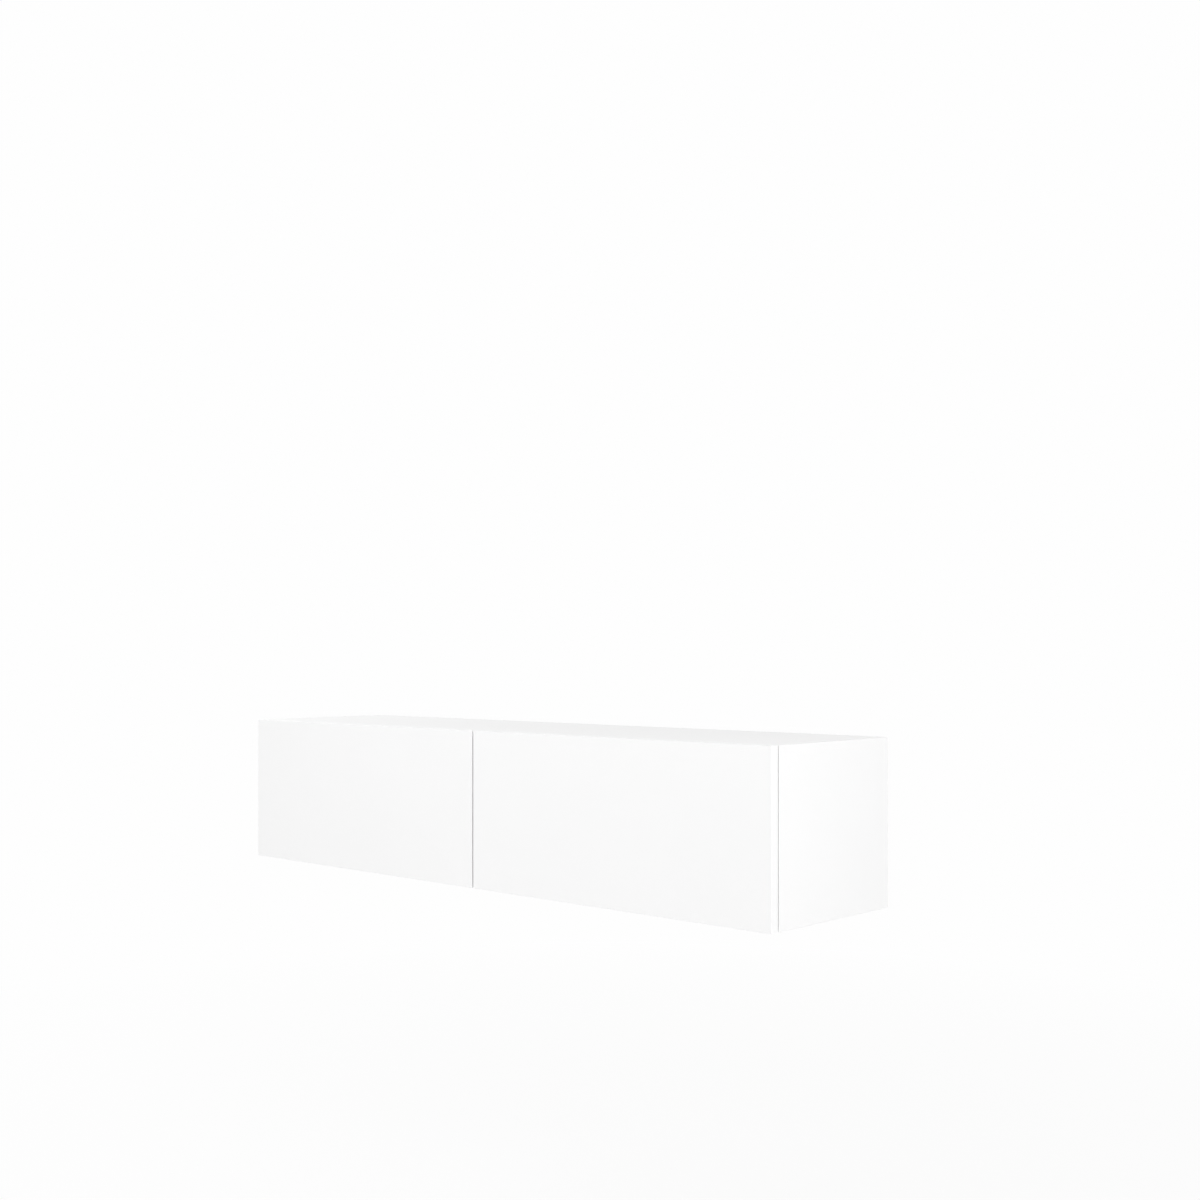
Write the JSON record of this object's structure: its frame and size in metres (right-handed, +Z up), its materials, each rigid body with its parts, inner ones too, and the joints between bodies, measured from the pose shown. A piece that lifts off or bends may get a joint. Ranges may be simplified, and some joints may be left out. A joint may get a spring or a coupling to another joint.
{
  "type": "floating media console",
  "caption": "Wall-hung media console with two handleless lift-up flaps over open compartments, hung on a concealed wall rail.",
  "frame": {"origin": "middle of the wall rail's back face, in the plane of the wall, 50 mm below the console's top", "axes": "+Z up, +Y towards the wall, +X to the right seen from the front; the flaps face -Y"},
  "size_m": [1.4, 0.3455, 0.3],
  "materials": {
    "white_laminate": "satin white melamine laminate on chipboard, with bare chipboard on the wall-side edges",
    "white_edge": "satin white edge band",
    "white_hardboard": "hardboard, white lacquered inside and bare brown on the wall side",
    "white_plastic": "moulded white plastic",
    "grey_plastic": "moulded grey plastic",
    "zinc_steel": "zinc-plated steel",
    "nickel_steel": "nickel-plated steel",
    "spring_steel": "bright steel",
    "clear_rubber": "clear soft bumper"
  },
  "bodies": {
    "carcass": {"top_panel": "white_laminate", "bottom_panel": "white_laminate", "centre_partition": "white_laminate", "back_panel": "white_hardboard", "wall_rail": "zinc_steel", "left_side_panel": "white_laminate", "left_cable_grommet": "white_plastic", "left_hanger_case": "zinc_steel", "left_hanger_hook": "zinc_steel", "left_hanger_cover": "white_plastic", "left_stay_housing": "grey_plastic", "left_stay_cover": "grey_plastic", "left_stay_pivot_pin": "spring_steel", "left_latch_housing": "grey_plastic", "left_latch_spring": "spring_steel", "left_inner_hinge_arm": "nickel_steel", "left_inner_hinge_plate": "nickel_steel", "left_inner_hinge_pin": "spring_steel", "left_inner_bumper": "clear_rubber", "left_outer_hinge_arm": "nickel_steel", "left_outer_hinge_plate": "nickel_steel", "left_outer_hinge_pin": "spring_steel", "left_outer_bumper": "clear_rubber", "right_side_panel": "white_laminate", "right_cable_grommet": "white_plastic", "right_hanger_case": "zinc_steel", "right_hanger_hook": "zinc_steel", "right_hanger_cover": "white_plastic", "right_stay_housing": "grey_plastic", "right_stay_cover": "grey_plastic", "right_stay_pivot_pin": "spring_steel", "right_latch_housing": "grey_plastic", "right_latch_spring": "spring_steel", "right_inner_hinge_arm": "nickel_steel", "right_inner_hinge_plate": "nickel_steel", "right_inner_hinge_pin": "spring_steel", "right_inner_bumper": "clear_rubber", "right_outer_hinge_arm": "nickel_steel", "right_outer_hinge_plate": "nickel_steel", "right_outer_hinge_pin": "spring_steel", "right_outer_bumper": "clear_rubber"},
    "left_flap_leaf": {"left_flap": "white_laminate", "left_flap_edge_band": "white_edge", "left_flap_bracket": "nickel_steel", "left_strike_plate": "zinc_steel", "left_inner_hinge_cup": "nickel_steel", "left_outer_hinge_cup": "nickel_steel"},
    "right_flap_leaf": {"right_flap": "white_laminate", "right_flap_edge_band": "white_edge", "right_flap_bracket": "nickel_steel", "right_strike_plate": "zinc_steel", "right_inner_hinge_cup": "nickel_steel", "right_outer_hinge_cup": "nickel_steel"},
    "left_arm": {"left_stay_arm": "nickel_steel"},
    "right_arm": {"right_stay_arm": "nickel_steel"},
    "left_link": {"left_stay_link": "nickel_steel"},
    "right_link": {"right_stay_link": "nickel_steel"},
    "left_plunger": {"left_latch_plunger": "white_plastic"},
    "right_plunger": {"right_latch_plunger": "white_plastic"}
  },
  "joints": [
    {"name": "left_flap_hinge", "type": "hinge", "parent": "carcass", "child": "left_flap_leaf", "pos_m": [-0.35087, -0.3357, 0.043], "axis": [-1, 0, 0], "range_deg": [0, 90]},
    {"name": "right_flap_hinge", "type": "hinge", "parent": "carcass", "child": "right_flap_leaf", "pos_m": [0.35087, -0.3357, 0.043], "axis": [-1, 0, 0], "range_deg": [0, 90]},
    {"name": "left_stay_arm_pivot", "type": "hinge", "parent": "carcass", "child": "left_arm", "pos_m": [-0.67225, -0.1857, -0.017], "axis": [-1, 0, 0], "range_deg": [0, 90]},
    {"name": "right_stay_arm_pivot", "type": "hinge", "parent": "carcass", "child": "right_arm", "pos_m": [0.67225, -0.1857, -0.017], "axis": [-1, 0, 0], "range_deg": [0, 90]},
    {"name": "left_stay_elbow", "type": "hinge", "parent": "left_arm", "child": "left_link", "pos_m": [-0.66925, -0.1575, -0.117], "axis": [-1, 0, 0], "range_deg": [-90, 0]},
    {"name": "right_stay_elbow", "type": "hinge", "parent": "right_arm", "child": "right_link", "pos_m": [0.66925, -0.1575, -0.117], "axis": [-1, 0, 0], "range_deg": [-90, 0]},
    {"name": "left_latch_travel", "type": "slide", "parent": "carcass", "child": "left_plunger", "axis": [0, -1, 0], "range_m": [0, 0.02]},
    {"name": "right_latch_travel", "type": "slide", "parent": "carcass", "child": "right_plunger", "axis": [0, -1, 0], "range_m": [0, 0.02]}
  ],
  "couplings": [
    {"joint": "left_stay_arm_pivot", "follows": "left_flap_hinge", "ratio": 1},
    {"joint": "right_stay_arm_pivot", "follows": "right_flap_hinge", "ratio": 1},
    {"joint": "left_stay_elbow", "follows": "left_flap_hinge", "ratio": -1},
    {"joint": "right_stay_elbow", "follows": "right_flap_hinge", "ratio": -1},
    {"joint": "left_latch_travel", "follows": "left_flap_hinge", "m_per_rad": 0.0127},
    {"joint": "right_latch_travel", "follows": "right_flap_hinge", "m_per_rad": 0.0127}
  ]
}
